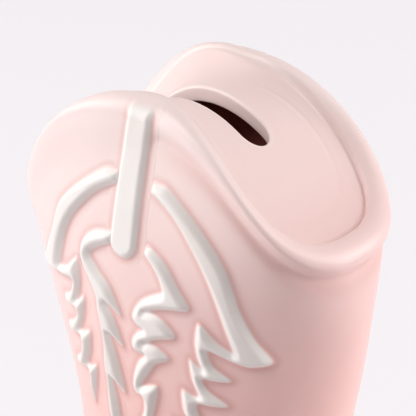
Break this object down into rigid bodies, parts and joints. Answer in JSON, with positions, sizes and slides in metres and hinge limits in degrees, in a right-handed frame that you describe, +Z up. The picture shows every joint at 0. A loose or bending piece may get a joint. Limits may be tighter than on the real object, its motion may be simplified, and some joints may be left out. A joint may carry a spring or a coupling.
{
  "type": "cowboy boot coin bank",
  "caption": "Glazed ceramic coin bank in the form of a cowboy boot: closed saddle top with a coin slot, raised stitch relief, and a rubber stopper in the sole.",
  "frame": {"origin": "on the floor, under the middle of the boot's length and width", "axes": "+X towards the toe, +Z up, the pull straps face -Y and +Y"},
  "size_m": [0.148, 0.056, 0.1688],
  "materials": {
    "pink_glaze": "soft gloss glaze",
    "white_glaze": "soft gloss glaze",
    "stopper_rubber": "matt moulded rubber"
  },
  "bodies": {
    "boot": {"shaft": "pink_glaze", "coin_plate": "pink_glaze", "foot": "pink_glaze", "sole": "pink_glaze", "heel": "pink_glaze", "strap_right": "white_glaze", "strap_left": "white_glaze", "outer_arch_right_front": "white_glaze", "outer_arch_right_back": "white_glaze", "outer_arch_left_front": "white_glaze", "outer_arch_left_back": "white_glaze", "outer_flames_right_front": "white_glaze", "outer_flames_right_back": "white_glaze", "outer_flames_left_front": "white_glaze", "outer_flames_left_back": "white_glaze", "inner_arch_right_front": "white_glaze", "inner_arch_right_back": "white_glaze", "inner_arch_left_front": "white_glaze", "inner_arch_left_back": "white_glaze", "inner_flames_right_front": "white_glaze", "inner_flames_right_back": "white_glaze", "inner_flames_left_front": "white_glaze", "inner_flames_left_back": "white_glaze", "vamp_line_right": "white_glaze", "vamp_line_left": "white_glaze", "counter_line_right": "white_glaze", "counter_line_left": "white_glaze", "toe_cap_line_right": "white_glaze", "toe_cap_line_left": "white_glaze"},
    "stopper": {"stopper": "stopper_rubber"}
  },
  "joints": [
    {"name": "stopper_pull", "type": "slide", "parent": "boot", "child": "stopper", "axis": [0, 0, -1], "range_m": [0, 0.02]}
  ]
}
